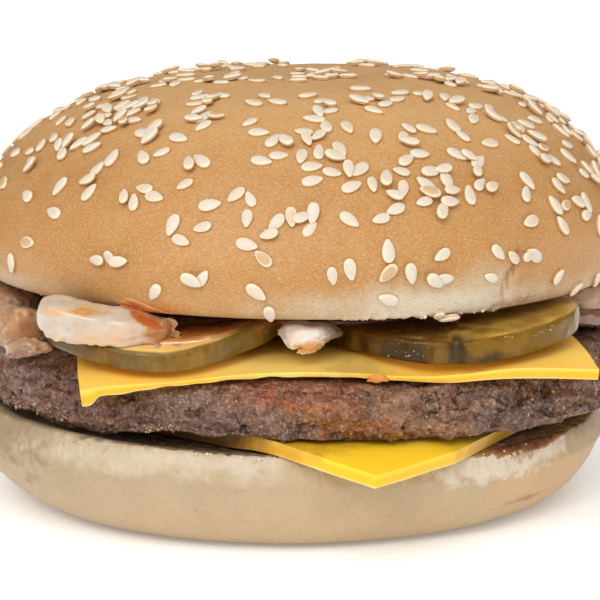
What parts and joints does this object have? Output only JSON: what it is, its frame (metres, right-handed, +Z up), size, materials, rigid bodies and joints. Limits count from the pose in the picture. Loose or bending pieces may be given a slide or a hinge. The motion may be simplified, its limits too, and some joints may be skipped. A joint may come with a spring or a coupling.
{
  "type": "cheeseburger",
  "caption": "Cheeseburger in a sesame seed bun, with a grilled patty between draped slices of cheese, and pickle slices, onion pieces and ketchup under the crown.",
  "frame": {"origin": "middle of the heel's flat foot, on the surface that the burger rests on", "axes": "+Z up through the layers, -Y towards the side that shows the corners of both cheese slices, +X to the right of that side"},
  "size_m": [0.1053, 0.1101, 0.0671],
  "materials": {
    "bun_crown": "baked golden crust with pale sesame seeds, soft satin",
    "bun_heel": "pale toasted bread, matte",
    "patty": "grilled minced meat, granular with moist glints",
    "cheese": "soft processed cheese, slightly translucent, smooth satin",
    "pickle": "pickled cucumber, wet and translucent",
    "onion": "chopped onion, moist and translucent"
  },
  "bodies": {
    "root": {"crown": "bun_crown", "heel": "bun_heel", "patty": "patty", "cheese_lower": "cheese", "cheese_upper": "cheese", "pickle_left": "pickle", "pickle_right": "pickle", "pickle_back": "pickle", "onion_white": "onion", "onion_lump": "onion", "onion_rag": "onion", "onion_far": "onion", "onion_under": "onion", "onion_curl": "onion", "onion_strip": "onion", "onion_side": "onion", "onion_rear": "onion", "onion_back": "onion", "onion_end": "onion"}
  },
  "joints": []
}
